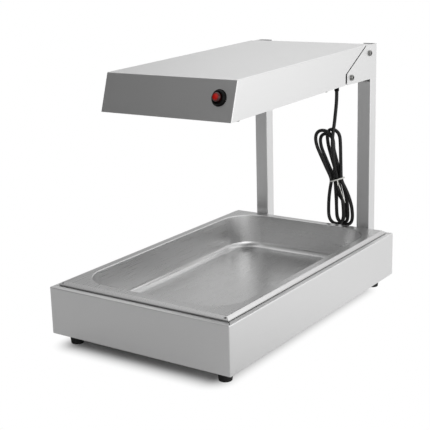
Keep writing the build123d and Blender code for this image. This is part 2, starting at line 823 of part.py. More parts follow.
def terminal_block():
    body = block((-block_length / 2, block_y - block_width / 2, shelf_top),
                 (block_length / 2, block_y + block_width / 2, shelf_top + block_height))
    for x in block_screw_places():
        body -= rod((x, block_y, 0), (x, block_y, shelf_top + block_height), m4_radius + hole_play)
    return hood_place * body


def terminal_block_screws():
    screw = pan_head_screw(block_height + shelf_top, m4_radius, m4_head_radius, m4_head)
    return hood_place * joined([facing((x, block_y, shelf_top + block_height), (0, 0, -1)) * screw
                                for x in block_screw_places()])


def earth_stud():
    screw = pan_head_screw(shelf_top + 3 * m4_nut, m4_radius, m4_head_radius, m4_head)
    return hood_place * Pos(-earth_offset, block_y, shelf_z) * screw


def earth_nuts():
    nut = hex_nut(m4_nut_flats, m4_nut, m4_radius + thread_play)
    return hood_place * joined([Pos(-earth_offset, block_y, shelf_top + i * m4_nut) * nut for i in (0, 1)])


def tube_links():
    """A strap across the studs at each end of the tubes."""
    links = []
    half = tube_spacing / 2 + link_width / 2
    for y, inward in tube_ends():
        near = y - inward * (stud_end - link_thickness)
        far = y - inward * (stud_end - 2 * link_thickness)
        link = block((-half, min(near, far), tube_height - link_width / 2),
                     (half, max(near, far), tube_height + link_width / 2))
        for x in tube_places.values():
            link -= rod((x, near - link_width, tube_height), (x, near + link_width, tube_height),
                        lamp_stud_radius + thread_play)
        links.append(link)
    return hood_place * joined(links)


def block_top():
    return shelf_top + block_height


def switch_feed_lead():
    """From the terminal block, along the reflector's edge, to the switch."""
    screw_edge = underside_screw_places()[-1][0] - m4_radius
    lane_x = (reflector_mouth_width / 2 + reflector_sheet + screw_edge) / 2
    lane_z = shelf_top + lead_radius + seat_play
    block_front = block_y - block_width / 2
    turn_y = block_front - 2 * lead_bend
    return hood_place * lead([
        (pole_offset, block_front, lane_z),
        (pole_offset, turn_y, lane_z),
        (lane_x, turn_y, lane_z),
        (lane_x, front_plate_y + 2.5 * lead_bend, lane_z),
        blade_end(1, 1.5 * lead_bend),
        blade_end(1, 0),
    ], lead_radius)


def tube_feed_lead():
    """From the switch to the strap at the front of the tubes."""
    behind = blade_end(-1, 1.5 * lead_bend)
    x = tube_places["right"]
    stud_y = front_plate_y - stud_end
    turn_y = stud_y - 2.3 * lead_bend
    low_z = tube_height - 2.4 * lead_bend
    return hood_place * lead([
        blade_end(-1, 0),
        behind,
        (behind[0], behind[1], low_z),
        (behind[0], turn_y, low_z),
        (x, turn_y, low_z),
        (x, turn_y, tube_height),
        (x, stud_y, tube_height),
    ], lead_radius)


def tube_return_lead():
    """From the strap at the rear of the tubes to the terminal block."""
    x = tube_places["right"]
    stud_y = rear_plate_y + stud_end
    turn_y = stud_y + 2.3 * lead_bend
    pole_y = block_y - block_width / 4
    rise = block_top() + 2.4 * lead_bend
    return hood_place * lead([
        (x, stud_y, tube_height),
        (x, turn_y, tube_height),
        (x, turn_y, rise),
        (-pole_offset, pole_y, rise),
        (-pole_offset, pole_y, block_top()),
    ], lead_radius)


def mains_cores():
    """The three wires of the mains lead, from its sheath to the terminal block and the earth stud."""
    top = sheath_top()
    around = cord_radius * 0.6
    pole_y = block_y + block_width / 4
    stud_top = shelf_z + shelf_top + 3 * m4_nut
    landings = [(pole_offset, pole_y, block_top()), (-pole_offset, pole_y, block_top()),
                (-earth_offset, block_y, stud_top)]
    cores = []
    for number, (x, y, z) in enumerate(landings):
        angle = radians(270 - 120 * number)
        start_x = gland_x + around * cos(angle)
        start_y = gland_y + around * sin(angle)
        rise = block_top() + (1.5 + 0.7 * number) * lead_bend
        cores.append(lead([(start_x, start_y, top), (start_x, start_y, rise), (x, y, rise), (x, y, z)],
                          core_radius))
    return hood_place * joined(cores)


# Mains lead

def sheath_top():
    return shelf_z + gland_thread + cord_end_proud


def cord_gland():
    gland = rod((0, 0, shelf_z), (0, 0, shelf_z + gland_thread), gland_thread_radius)
    gland += rod((0, 0, shelf_z - gland_flange), (0, 0, shelf_z), gland_flange_radius)
    length = gland_sleeve - gland_flange + shelf_z
    gland += Pos(0, 0, -gland_sleeve) * Cone(gland_sleeve_tip, gland_sleeve_top, length,
                                             align=(Align.CENTER, Align.CENTER, Align.MIN))
    gland -= rod((0, 0, -gland_sleeve), (0, 0, shelf_z + gland_thread), cord_radius + thread_play)
    return hood_place * Pos(gland_x, gland_y, 0) * gland


def gland_nut():
    nut = hex_nut(gland_nut_flats, gland_nut_height, gland_thread_radius + thread_play)
    return hood_place * Pos(gland_x, gland_y, shelf_top) * nut


def power_cord_entry():
    return hood_place * rod((gland_x, gland_y, -gland_sleeve), (gland_x, gland_y, sheath_top()), cord_radius)


def cord_run(name, points):
    """A round lead along straight runs and the arcs that join them."""
    radii = []
    for before, at, after in zip(points, points[1:], points[2:]):
        into = Vector(*at) - Vector(*before)
        away = Vector(*after) - Vector(*at)
        turn = radians(into.get_angle(away))
        radii.append(0.45 * min(into.length, away.length) / tan(turn / 2))
    path = FilletPolyline(*points, radius=radii)
    print(name, "length", round(path.length, 1), "radii", [round(radius, 1) for radius in radii])
    return sweep(Plane(origin=path @ 0, z_dir=path % 0) * Circle(cord_radius), path=path)


cord_exit = out_of_hood(gland_x, gland_y, -gland_sleeve)
hank_top = (gland_x - 7.5, cord_exit[1] + 5.5, cord_exit[2] - 75.0)
hank_bottom = (gland_x - 1.0, hank_top[1] + 13.6, hank_top[2] - 186.0)
cord_drop_route = [
    cord_exit,
    out_of_hood(gland_x, gland_y, -gland_sleeve - 16.0),
    (gland_x - 4.2, cord_exit[1] + 3.3, cord_exit[2] - 42.0),
    (hank_top[0], hank_top[1], cord_exit[2] - 62.0),
    hank_top,
]
tail_drop = (hank_bottom[2] - plug_radius) / 3.155
cord_tail_route = [hank_bottom]
for lean, back in ((0, 0), (15, 4.0), (40, 5.0), (65, 4.0), (90, 0)):
    last = cord_tail_route[-1]
    cord_tail_route.append((last[0] - tail_drop * sin(radians(lean)), last[1] + back,
                            last[2] - tail_drop * cos(radians(lean))))
plug_tip = cord_tail_route[-1]


def hank_section(x, depth_down, half_width, half_depth):
    """An oval across the hank, some way below its top."""
    y = hank_top[1] + hank_lean * depth_down
    return Pos(x, y, hank_top[2] - depth_down) * Ellipse(half_width, half_depth)


def power_cord_hank():
    left = gland_x - 59.0
    return loft([
        hank_section(left + 37.0, 0, 23.0, 6.5),
        hank_section(left + 38.5, 22.0, 29.0, 10.0),
        hank_section(left + 46.0, 59.0, 23.5, 10.0),
        hank_section(left + 54.6, 96.0, 13.5, 9.0),
        hank_section(left + 59.0, 144.0, 30.0, 10.0),
        hank_section(left + 59.0, 169.0, 25.0, 9.5),
        hank_section(left + 58.0, 186.0, 15.5, 6.5),
    ])


def cord_tie():
    middle = (gland_x - 4.4, hank_top[1] + hank_lean * 96.0, hank_top[2] - 96.0)
    slant = radians(tie_slant)
    across = Plane(origin=middle, x_dir=(cos(slant), 0, sin(slant)), z_dir=(-sin(slant), 0, cos(slant)))
    band = extrude(across * Ellipse(14.6 + tie_thickness, 9.3 + tie_thickness), tie_width / 2, both=True)
    return band - power_cord_hank()


def power_cord_drop():
    return cord_run("power_cord_drop", cord_drop_route)


def power_cord_tail():
    return cord_run("power_cord_tail", cord_tail_route)


def plug_place():
    return facing(plug_tip, (-1, 0, 0))


def plug_body():
    neck = Cone(plug_sleeve_tip, plug_neck_radius, plug_sleeve, align=(Align.CENTER, Align.CENTER, Align.MIN))
    body = rod((0, 0, plug_sleeve), (0, 0, plug_sleeve + plug_body_length), plug_radius)
    body = fillet(edges_at(body, plug_sleeve), 2 * plug_round)
    body = fillet(edges_at(body, plug_sleeve + plug_body_length), 1.0)
    return plug_place() * (neck + body)


def plug_pins():
    face = plug_sleeve + plug_body_length
    pin = rod((0, 0, 0), (0, 0, pin_length), pin_radius)
    pin = fillet(edges_at(pin, pin_length), pin_radius * 0.6)
    return plug_place() * joined([Pos(0, side * pin_spacing / 2, face) * pin for side in (-1, 1)])


parts = {
    "food_pan": food_pan,
    "base_front": lambda: base_panel(0, 1),
    "base_right": lambda: base_panel(1, 2),
    "base_rear": lambda: base_panel(2, 3),
    "base_left": lambda: base_panel(3, 0),
    "bottom_plate": bottom_plate,
    "bottom_plate_screws": bottom_plate_screws,
    "foot_screws": foot_screws,
    "foot_nuts": foot_nuts,
    "right_post": right_post,
    "left_post": lambda: mirrored(right_post()),
    "post_rivet_nuts": post_rivet_nuts,
    "post_screws": post_screws,
    "hood_shell": hood_shell,
    "hood_rear_cap": hood_rear_cap,
    "ear_screws": ear_screws,
    "ear_nuts": ear_nuts,
    "reflector": reflector,
    "front_end_plate": front_end_plate,
    "rear_end_plate": rear_end_plate,
    "underside_screws": underside_screws,
    "wire_guard": wire_guard,
    "ceramic_end_caps": ceramic_end_caps,
    "lamp_studs": lamp_studs,
    "switch_body": switch_body,
    "switch_button": switch_button,
    "switch_nut": switch_nut,
    "switch_terminals": switch_terminals,
    "terminal_block": terminal_block,
    "terminal_block_screws": terminal_block_screws,
    "earth_stud": earth_stud,
    "earth_nuts": earth_nuts,
    "tube_links": tube_links,
    "switch_feed_lead": switch_feed_lead,
    "tube_feed_lead": tube_feed_lead,
    "tube_return_lead": tube_return_lead,
    "mains_cores": mains_cores,
    "cord_gland": cord_gland,
    "gland_nut": gland_nut,
    "power_cord_entry": power_cord_entry,
    "power_cord_drop": power_cord_drop,
    "power_cord_hank": power_cord_hank,
    "cord_tie": cord_tie,
    "power_cord_tail": power_cord_tail,
    "plug_body": plug_body,
    "plug_pins": plug_pins,
}
for corner, place in foot_places.items():
    parts["foot_" + corner] = lambda place=place: foot(*place)
for side, x in tube_places.items():
    parts["quartz_tube_" + side] = lambda x=x: quartz_tube(x)
    parts["heating_coil_" + side] = lambda x=x: heating_coil(x)

os.makedirs("parts", exist_ok=True)
for name, make in parts.items():
    export_step(make(), f"parts/{name}.step")
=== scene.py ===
import json
from math import cos, pi, radians, sin, tan

import bmesh
import bpy
from mathutils import Euler, Matrix, Vector


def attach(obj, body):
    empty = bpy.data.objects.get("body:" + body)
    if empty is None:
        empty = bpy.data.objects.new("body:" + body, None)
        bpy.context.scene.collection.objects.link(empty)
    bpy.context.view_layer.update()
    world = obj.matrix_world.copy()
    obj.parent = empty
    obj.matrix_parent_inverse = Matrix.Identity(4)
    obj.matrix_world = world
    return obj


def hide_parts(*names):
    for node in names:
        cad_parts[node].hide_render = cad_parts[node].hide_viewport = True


# Fry warmer: brushed stainless base, lift-out pan, posts, heat hood and a tied mains lead.
# Metres. +Z is up, +Y is to the rear, +X is to the right as seen from the switch end.
# Lengths of the object are written in millimetres and multiplied by mm where Blender takes them.

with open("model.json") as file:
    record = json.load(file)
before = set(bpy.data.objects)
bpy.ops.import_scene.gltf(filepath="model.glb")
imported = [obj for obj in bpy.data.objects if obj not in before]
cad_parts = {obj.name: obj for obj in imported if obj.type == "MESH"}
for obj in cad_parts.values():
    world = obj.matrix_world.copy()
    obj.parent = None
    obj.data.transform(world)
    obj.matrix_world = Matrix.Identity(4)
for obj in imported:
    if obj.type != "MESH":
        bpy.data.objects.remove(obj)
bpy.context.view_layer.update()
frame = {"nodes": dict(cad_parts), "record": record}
mm = 0.001

# The hood hangs a little lower at its front, so what sits in it is modelled in the hood's own frame
hood = Matrix.Translation(Vector((0, 254.5, 387.2)) * mm) @ Matrix.Rotation(radians(1.5), 4, "X")
panel_slope = radians(19.594)


# Node and colour tools

def linear(text):
    """A hex colour as the linear values that a shader takes."""
    values = [int(text[i:i + 2], 16) / 255 for i in (0, 2, 4)]
    return [v / 12.92 if v <= 0.04045 else ((v + 0.055) / 1.055) ** 2.4 for v in values] + [1.0]


def add(tree, kind, inputs=None, **settings):
    """Adds a node with its settings. An input that is another node's output is linked."""
    node = tree.nodes.new(kind)
    for name, value in settings.items():
        setattr(node, name, value)
    for name, value in (inputs or {}).items():
        if isinstance(value, bpy.types.NodeSocket):
            tree.links.new(value, node.inputs[name])
        else:
            node.inputs[name].default_value = value
    return node


def maths(tree, operation, *values):
    """The result of a Math node."""
    return add(tree, "ShaderNodeMath", dict(enumerate(values)), operation=operation).outputs[0]


def vector_maths(tree, operation, *values):
    """The result of a Vector Math node: a number for a length or a dot product, otherwise a vector."""
    node = add(tree, "ShaderNodeVectorMath", dict(enumerate(values)), operation=operation)
    return node.outputs["Value" if operation in ("LENGTH", "DOT_PRODUCT") else "Vector"]


def noise(tree, place, scale, detail, **more):
    """The value of a Noise texture."""
    inputs = {"Vector": place, "Scale": scale, "Detail": detail, **more}
    return add(tree, "ShaderNodeTexNoise", inputs).outputs["Fac"]


def ranged(tree, value, low, high, to_low=0.0, to_high=1.0, **settings):
    """A value carried from one range to another."""
    inputs = {"Value": value, "From Min": low, "From Max": high, "To Min": to_low, "To Max": to_high}
    return add(tree, "ShaderNodeMapRange", inputs, **settings).outputs["Result"]


def mixed(tree, share, first, second):
    """A colour between two hex colours."""
    inputs = {0: share, 6: linear(first), 7: linear(second)}
    return add(tree, "ShaderNodeMix", inputs, data_type="RGBA").outputs[2]


def new_material(name):
    """An empty material with its output node."""
    material = bpy.data.materials.new(name)
    material.use_nodes = True
    material.node_tree.nodes.clear()
    tree = material.node_tree
    return material, tree, add(tree, "ShaderNodeOutputMaterial")


def end_in_principled(tree, output, inputs):
    """Ends a material in a Principled shader."""
    shader = add(tree, "ShaderNodeBsdfPrincipled", inputs)
    tree.links.new(shader.outputs["BSDF"], output.inputs["Surface"])


# Materials

scratch_width = 0.9
scratch_length = 70
cloud_size = 90


def brushed_stainless(name, grain, end_grain, dark, light, low, high):
    """Stainless sheet, belt ground: long fine scratches that streak the shine along the grain.

    grain and end_grain are the scratch directions, the second on faces that look along Y.
    Real scratches are taken as about 0.2 mm wide, and these are wider so that they show."""
    material, tree, output = new_material(name)
    place = add(tree, "ShaderNodeTexCoord").outputs["Object"]
    streaks = []
    for direction in (grain, end_grain):
        across = 1 / (scratch_width * mm)
        along = 1 / (scratch_length * mm)
        scale = [along if axis == direction else across for axis in "XYZ"]
        stretched = add(tree, "ShaderNodeMapping", {"Vector": place, "Scale": scale})
        streaks.append(noise(tree, stretched.outputs["Vector"], 1.0, 3.0, Roughness=0.6))
    normal = add(tree, "ShaderNodeNewGeometry").outputs["Normal"]
    split = add(tree, "ShaderNodeSeparateXYZ", {"Vector": normal})
    end_face = maths(tree, "GREATER_THAN", maths(tree, "ABSOLUTE", split.outputs["Y"]), 0.6)
    scratch = add(tree, "ShaderNodeMix", {0: end_face, 2: streaks[0], 3: streaks[1]}).outputs[0]
    cloud = noise(tree, place, 1 / (cloud_size * mm), 2.0)
    scratched = add(tree, "ShaderNodeBump", {"Height": scratch, "Strength": 0.12, "Distance": 0.05 * mm})
    wavy = add(tree, "ShaderNodeBump", {
        "Height": cloud, "Strength": 0.5, "Distance": 0.6 * mm, "Normal": scratched.outputs["Normal"]})
    end_in_principled(tree, output, {
        "Base Color": mixed(tree, scratch, dark, light), "Metallic": 1.0,
        "Roughness": ranged(tree, scratch, 0.3, 0.7, low, high), "Normal": wavy.outputs["Normal"]})
    return material


def speckled(name, colours, grain, roughness, bump, **sockets):
    """A surface whose colour and shine vary a little, with a fine moulded or cast skin.

    grain is the size of the variation and bump the height of the skin, in millimetres."""
    material, tree, output = new_material(name)
    place = add(tree, "ShaderNodeTexCoord").outputs["Object"]
    coarse = noise(tree, place, 1 / (grain * mm), 4.0)
    fine = noise(tree, place, 8 / (grain * mm), 2.0)
    skin = add(tree, "ShaderNodeBump", {"Height": fine, "Strength": 0.3, "Distance": bump * mm})
    end_in_principled(tree, output, {
        "Base Color": mixed(tree, coarse, *colours), "Roughness": ranged(tree, coarse, 0.3, 0.7, *roughness),
        "Normal": skin.outputs["Normal"], **sockets})
    return material


def painted_glow_lens(name, centre, axis):
    """Clear red plastic with its lamp's glow painted into its colour: a painted glow, brightest at its
    middle, and painted shade that turns it dark red towards its edge.
    """
    material, tree, output = new_material(name)
    place = add(tree, "ShaderNodeTexCoord").outputs["Object"]
    from_centre = vector_maths(tree, "SUBTRACT", place, centre)
    radius = vector_maths(tree, "LENGTH", vector_maths(tree, "CROSS_PRODUCT", from_centre, axis))
    # Painted glow and painted shade: bright red at the lens's middle, fading to dark red towards its edge
    edge = ranged(tree, radius, 2.2 * mm, 7.0 * mm, interpolation_type="SMOOTHSTEP")
    end_in_principled(tree, output, {
        "Base Color": mixed(tree, edge, "b81810", "2a0303"), "Roughness": 0.18, "Specular IOR Level": 0.4})
    return material


switch_place = (hood @ Matrix.Translation(Vector((96.5, -439.004, 33.7)) * mm)
                @ Matrix.Rotation(pi / 2 - panel_slope, 4, "X"))
materials = {
    "stainless": brushed_stainless("brushed_stainless", "Y", "Z", "d2d2d2", "dadada", 0.38, 0.48),
    "pan_steel": brushed_stainless("satin_stainless", "Y", "X", "c6c6c6", "cdcdcd", 0.26, 0.33),
    "reflector_aluminium": brushed_stainless("rolled_aluminium", "Y", "X", "d8d9da", "e2e3e4", 0.12, 0.22),
    "plated_steel": speckled("zinc_plated_steel", ("70706f", "888886"), 3, (0.22, 0.36), 0.02,
                             Metallic=1.0),
    "black_rubber": speckled("moulded_rubber", ("040404", "080808"), 4, (0.65, 0.8), 0.08),
    "quartz": speckled("quartz_glass", ("eef0f0", "ffffff"), 12, (0.05, 0.14), 0.01,
                       **{"Transmission Weight": 1.0, "IOR": 1.46}),
    "resistance_wire": speckled("oxidised_resistance_wire", ("3b3430", "5a524c"), 2, (0.45, 0.65), 0.03,
                                Metallic=1.0),
    "steatite": speckled("steatite", ("e2dccd", "efeade"), 3, (0.55, 0.75), 0.05),
    "black_plastic": speckled("moulded_polyamide", ("030303", "060606"), 3, (0.30, 0.44), 0.02,
                              **{"Specular IOR Level": 0.12}),
    "red_lens": painted_glow_lens("red_polycarbonate", switch_place.translation, switch_place.to_3x3().col[2]),
    "brass": speckled("stamped_brass", ("b9924a", "d0aa5e"), 4, (0.25, 0.40), 0.02, Metallic=1.0),
    "white_nylon": speckled("natural_nylon", ("dcdcd6", "eeeee9"), 4, (0.35, 0.50), 0.02),
    "red_sleeve": speckled("silicone_sleeve", ("7d1712", "96201a"), 1.5, (0.6, 0.8), 0.1),
    "core_insulation": speckled("wire_insulation", ("4a3018", "5c3d20"), 3, (0.35, 0.5), 0.02),
    "cord_sheath": speckled("pvc_sheath", ("050505", "0a0a0a"), 6, (0.5, 0.62), 0.03),
}
for part in frame["record"]["subparts"]:
    node = frame["nodes"][part["node"]]
    for slot in node.material_slots:
        slot.material = materials[part["material_slot"]]


# Modelling tools

def pick(piece):
    """Makes a piece the only one selected, and the active one."""
    bpy.ops.object.select_all(action="DESELECT")
    piece.select_set(True)
    bpy.context.view_layer.objects.active = piece


def apply_place():
    """Applies the active piece's place, so that its object stays at the origin."""
    bpy.ops.object.transform_apply(location=True, rotation=True, scale=True)


def edit_all():
    """Opens the active piece in edit mode with all of it selected."""
    bpy.ops.object.mode_set(mode="EDIT")
    bpy.ops.mesh.select_all(action="SELECT")


def close_edit():
    """Turns all the faces outward and leaves edit mode."""
    bpy.ops.mesh.select_all(action="SELECT")
    bpy.ops.mesh.normals_make_consistent(inside=False)
    bpy.ops.object.mode_set(mode="OBJECT")


def choose(piece, kind, test):
    """In edit mode, selects the faces or edges that pass a test.

    The test gets a face's middle and normal, or an edge's middle and way."""
    bpy.ops.mesh.select_mode(type=kind)
    bpy.ops.mesh.select_all(action="DESELECT")
    shape = bmesh.from_edit_mesh(piece.data)
    if kind == "FACE":
        for face in shape.faces:
            face.select_set(test(face.calc_center_median() / mm, face.normal))
    else:
        for edge in shape.edges:
            middle = (edge.verts[0].co + edge.verts[1].co) / 2
            edge.select_set(test(middle / mm, (edge.verts[1].co - edge.verts[0].co).normalized()))
    bmesh.update_edit_mesh(piece.data)


def bridge_open_edges():
    """In edit mode, joins the two open loops of edges by faces."""
    bpy.ops.mesh.select_mode(type="EDGE")
    bpy.ops.mesh.select_all(action="DESELECT")
    bpy.ops.mesh.select_non_manifold()
    bpy.ops.mesh.bridge_edge_loops()


def turned(name, rings, sides=32, bored=False):
    """A turned piece along Z: a disc that is extruded and scaled from ring to ring of (radius, height).

    A bored piece's rings go up its outside and down its bore, and meet again at the first height."""
    bpy.ops.object.select_all(action="DESELECT")
    radius, height = rings[0]
    bpy.ops.mesh.primitive_circle_add(vertices=sides, radius=radius * mm, fill_type="NGON",
                                      location=(0, 0, height * mm))
    piece = bpy.context.object
    piece.name = name
    apply_place()
    edit_all()
    for wider, higher in rings[1:]:
        bpy.ops.mesh.extrude_region_move(TRANSFORM_OT_translate={"value": (0, 0, (higher - height) * mm)})
        grown = wider / radius
        bpy.ops.transform.resize(value=(grown, grown, 1), center_override=(0, 0, higher * mm))
        radius, height = wider, higher
    if bored:
        choose(piece, "FACE", lambda middle, normal: abs(normal.z) > 0.9 and middle.xy.length < 0.1)
        bpy.ops.mesh.delete(type="FACE")
        bridge_open_edges()
    close_edit()
    return piece


def settle(piece, place):
    """Puts a piece in its place and applies that."""
    pick(piece)
    piece.matrix_world = place
    apply_place()


def apply_modifier(piece, kind, **settings):
    """Adds a modifier with its settings and applies it."""
    pick(piece)
    modifier = piece.modifiers.new(kind.lower(), kind)
    for name, value in settings.items():
        setattr(modifier, name, value)
    bpy.ops.object.modifier_apply(modifier=modifier.name)


def copy_of(piece, name):
    """A copy of a finished piece with its own mesh."""
    pick(piece)
    bpy.ops.object.duplicate(linked=False)
    double = bpy.context.object
    double.name = name
    return double


def join(pieces, name):
    """Several meshes made one piece."""
    bpy.ops.object.select_all(action="DESELECT")
    for piece in pieces:
        piece.select_set(True)
    bpy.context.view_layer.objects.active = pieces[0]
    bpy.ops.object.join()
    pieces[0].name = name
    return pieces[0]


def finish_piece(piece, slot, body, *nodes, angle=35):
    """Gives a piece its material, smooth faces between sharp edges, its body and the nodes it stands for."""
    pick(piece)
    bpy.ops.object.shade_smooth_by_angle(angle=radians(angle))
    piece.data.materials.clear()
    piece.data.materials.append(materials[slot])
    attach(piece, body)
    if nodes:
        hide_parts(*nodes)
    return piece


# Food pan: a drawn well with a flat rim. The rim's edge is folded down on a slope, with relief slots
# near the corners of its two ends.

pan_sheet = 1.0
rim_top = 106.5
rim_y = -10.7
well_middle = Vector((0, -9, rim_top)) * mm
well_half = (147.5, 245.5)
well_corner = 60
rim_middle = Vector((0, rim_y, rim_top)) * mm
rim_half = (157.7, 259.0)
# The fold from the rim's flat to its lower edge, as rings of (inset, depth)
rim_fold = [(0, 0), (-0.4, 0), (-0.8, 0.1), (-1.3, 0.4), (-3.0, 1.4), (-5.2, 2.7), (-6.6, 3.6), (-7.0, 4.0),
            (-7.1, 5.4)]
# A relief slot lies between two distances to the side and two depths, and past a distance to the end
slot_near, slot_far = 155.6, 159.6
slot_high, slot_low = 1.4, 2.7
slot_end = 261.5


def pull(middle, half, rings):
    """Extrudes what is selected from ring to ring of (inset, depth).

    Insets are measured from the half sizes in x and y, and depths from the rim's top."""
    inset, depth = rings[0]
    for further, deeper in rings[1:]:
        bpy.ops.mesh.extrude_region_move(TRANSFORM_OT_translate={"value": (0, 0, (depth - deeper) * mm)})
        shrink = [(size - further) / (size - inset) for size in half]
        bpy.ops.transform.resize(value=(*shrink, 1), center_override=middle)
        inset, depth = further, deeper


def well_rings():
    """The well from its lip down the sloped wall and round to the floor.

    A narrow strip beside each curve keeps the flat faces flat under smooth shading."""
    lip = 1.4
    floor_curve = 13.0
    floor = 64.0
    draft = radians(6)
    strip = 0.5
    rings = [(0, 0), (strip, 0)]
    rings += [(strip + lip * sin(radians(a)), lip * (1 - cos(radians(a)))) for a in (21, 42, 63, 84)]
    wall_x, wall_z = rings[-1]
    end_z = floor - floor_curve * (1 - sin(draft))
    end_x = wall_x + (end_z - wall_z) * tan(draft)
    rings.append((wall_x + strip * tan(draft), wall_z + strip))
    rings.append((end_x - strip * tan(draft), end_z - strip))
    for a in (0, 12, 24, 36, 48, 60, 72, 84):
        turn = draft + radians(a)
        x = end_x + floor_curve * (cos(draft) - cos(turn))
        rings.append((x, end_z + floor_curve * (sin(turn) - sin(draft))))
    return rings + [(rings[-1][0] + strip, floor)]


def food_pan():
    """The pan: well and rim drawn as one sheet, slotted, and then given its thickness."""
    bpy.ops.object.select_all(action="DESELECT")
    bpy.ops.mesh.primitive_plane_add(size=2 * mm, location=well_middle)
    pan = bpy.context.object
    apply_place()
    edit_all()
    bpy.ops.transform.resize(value=(*well_half, 1), center_override=well_middle)
    bpy.ops.mesh.bevel(affect="VERTICES", offset=well_corner * mm, segments=16, profile=0.5)
    bpy.ops.mesh.select_all(action="SELECT")
    pull(well_middle, well_half, well_rings())
    choose(pan, "FACE", lambda middle, normal: middle.z > rim_top - 0.1 and middle.xy.length < 50)
    bpy.ops.mesh.delete(type="ONLY_FACE")
    bpy.ops.mesh.select_all(action="DESELECT")
    bpy.ops.mesh.primitive_plane_add(size=2 * mm, location=rim_middle)
    bpy.ops.transform.resize(value=(*rim_half, 1), center_override=rim_middle)
    bpy.ops.mesh.delete(type="ONLY_FACE")
    bridge_open_edges()
    choose(pan, "EDGE", lambda middle, way: abs(middle.x) > rim_half[0] - 0.1
           or abs(middle.y - rim_y) > rim_half[1] - 0.1)
    pull(rim_middle, rim_half, rim_fold)
    for x in (-slot_far, -slot_near, slot_near, slot_far):
        bpy.ops.mesh.select_all(action="SELECT")
        bpy.ops.mesh.bisect(plane_co=(x * mm, 0, 0), plane_no=(1, 0, 0))
    choose(pan, "FACE", lambda middle, normal: slot_near < abs(middle.x) < slot_far
           and rim_top - slot_low < middle.z < rim_top - slot_high and abs(middle.y - rim_y) > slot_end)
    bpy.ops.mesh.delete(type="FACE")
    bpy.ops.mesh.select_all(action="SELECT")
    bpy.ops.mesh.remove_doubles(threshold=0.001 * mm)
    bpy.ops.mesh.normals_make_consistent(inside=False)
    floor = min(bmesh.from_edit_mesh(pan.data).faces, key=lambda face: face.calc_center_median().z)
    if floor.normal.z < 0:
        bpy.ops.mesh.flip_normals()
    bpy.ops.object.mode_set(mode="OBJECT")
    apply_modifier(pan, "SOLIDIFY", thickness=pan_sheet * mm, offset=-1)
    pan.name = "drawn_pan"
    finish_piece(pan, "pan_steel", "pan", "food_pan", angle=40)


food_pan()


# Switch: a black housing with a stepped collar, and the button in it, whose lamp's glow is painted into its
# colour

def switch_housing():
    """The housing, with its collar on the panel and the button's bore."""
    rings = [(9.9, -20), (9.9, -0.05), (13.0, -0.05), (13.0, 1.2), (12.7, 1.7), (12.2, 2.0), (11.7, 2.0),
             (11.5, 2.3), (10.7, 4.4), (10.4, 4.9), (9.9, 5.2), (8.1, 5.2), (7.7, 4.9), (7.5, 4.4),
             (7.5, -4.0), (8.7, -4.0), (8.7, -9.2)]
    housing = turned("switch_housing", rings, 48)
    settle(housing, switch_place)
    finish_piece(housing, "black_plastic", "warmer", "switch_body")


def switch_lens():
    """The button: a domed lens with the flange that keeps it in its housing."""
    rings = [(8.4, -6.4), (8.4, -4.0), (7.2, -4.0), (7.2, 8.0), (7.05, 8.8), (6.6, 9.6), (5.8, 10.3),
             (4.5, 10.9), (3.0, 11.3), (1.4, 11.5)]
    lens = turned("switch_lens", rings, 48)
    settle(lens, switch_place)
    finish_piece(lens, "red_lens", "button", "switch_button")


switch_housing()
switch_lens()


# Ear screws: pan heads with a cross recess

recess_width = 1.7
recess_reach = 2.1
recess_z = 3.4
ear_outside = 124.5
# Each screw's y and z, and how far its recess is turned, in degrees
ear_screw_places = [(188.6, 395.7, 24), (259.5, 431.5, 61)]


def cross_cutter():
    """A plus-shaped block that sinks the recess into a screw's head."""
    bpy.ops.object.select_all(action="DESELECT")
    bpy.ops.mesh.primitive_cube_add(size=recess_width * mm, location=(0, 0, recess_z * mm))
    cutter = bpy.context.object
    apply_place()
    edit_all()
    bpy.ops.transform.resize(value=(1, 1, 2.0), center_override=(0, 0, recess_z * mm))
    choose(cutter, "FACE", lambda middle, normal: abs(normal.z) < 0.1)
    bpy.ops.mesh.extrude_faces_move(TRANSFORM_OT_shrink_fatten={"value": recess_reach * mm})
    bpy.ops.object.mode_set(mode="OBJECT")
    return cutter


def ear_screws():
    """Two screws in each ear, copied from one."""
    rings = [(2.5, -10), (2.5, 0), (5.2, 0), (5.2, 1.2), (5.0, 2.2), (4.5, 3.0), (3.6, 3.6), (2.4, 3.9),
             (0.9, 4.0)]
    screw = turned("ear_screw", rings, 32)
    cutter = cross_cutter()
    apply_modifier(screw, "BOOLEAN", operation="DIFFERENCE", object=cutter, solver="EXACT")
    bpy.data.objects.remove(cutter)
    screws = []
    for side in (1, -1):
        for y, z, turn in ear_screw_places:
            double = copy_of(screw, "ear_screw_copy")
            settle(double, Matrix.Translation(Vector((ear_outside * side, y, z)) * mm)
                   @ Matrix.Rotation(side * pi / 2, 4, "Y") @ Matrix.Rotation(radians(turn), 4, "Z"))
            screws.append(double)
    bpy.data.objects.remove(screw)
    finish_piece(join(screws, "cross_recess_screws"), "plated_steel", "warmer", "ear_screws")


ear_screws()


# Heating coils: wound resistance wire inside the quartz tubes

wire_radius = 0.45
coil_radius = 2.75
coil_pitch = 2.9
coil_turns = 100


def wound_coil():
    """One coil along Z: a wire's round section, wound by the Screw modifier."""
    bpy.ops.object.select_all(action="DESELECT")
    bpy.ops.mesh.primitive_circle_add(vertices=6, radius=wire_radius * mm, location=(coil_radius * mm, 0, 0),
                                      rotation=(pi / 2, 0, 0))
    coil = bpy.context.object
    apply_place()
    apply_modifier(coil, "SCREW", axis="Z", angle=2 * pi, screw_offset=coil_pitch * mm,
                   iterations=coil_turns, steps=12, render_steps=12, use_merge_vertices=False)
    edit_all()
    bpy.ops.mesh.remove_doubles(threshold=0.01 * mm)
    bpy.ops.mesh.fill_holes(sides=6)
    close_edit()
    return coil


